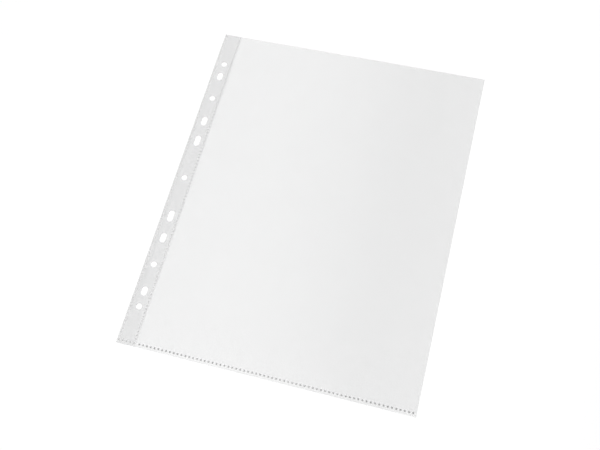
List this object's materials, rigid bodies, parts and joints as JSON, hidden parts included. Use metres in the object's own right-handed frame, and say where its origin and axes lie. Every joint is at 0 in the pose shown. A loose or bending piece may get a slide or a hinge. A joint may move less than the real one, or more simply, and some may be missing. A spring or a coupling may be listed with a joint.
{
  "type": "sheet protector",
  "caption": "Flat top-loading pocket of grained clear film with a reinforced, punched filing margin and dotted heat-welded seams.",
  "frame": {"origin": "middle of the sheet's outline, on the surface that it lies on", "axes": "+X across the sheet from the filing margin to the fold, +Y up the page to the mouth, +Z out of the front leaf"},
  "size_m": [0.239, 0.3056, 0.0006],
  "materials": {
    "film": "clear film with a fine pressed grain",
    "ribbon": "translucent",
    "weld": "fused, glossy dots"
  },
  "bodies": {
    "filing_margin": {"rear_margin_film": "film", "reinforcing_ribbon": "ribbon", "front_margin_film": "film", "outer_margin_welds": "weld", "inner_margin_welds": "weld", "margin_foot_welds": "weld"},
    "pocket": {"rear_leaf": "film", "side_fold": "film", "bottom_hem_film": "film", "bottom_seam_welds": "weld"},
    "front_leaf": {"front_leaf": "film"}
  },
  "joints": [
    {"name": "margin_flex", "type": "hinge", "parent": "filing_margin", "child": "pocket", "pos_m": [-0.1034, 0, 0.00028], "axis": [0, -1, 0], "range_deg": [-90, 90]},
    {"name": "mouth_open", "type": "hinge", "parent": "pocket", "child": "front_leaf", "pos_m": [0, -0.1481, 0.00052], "axis": [1, 0, 0], "range_deg": [0, 4]}
  ]
}
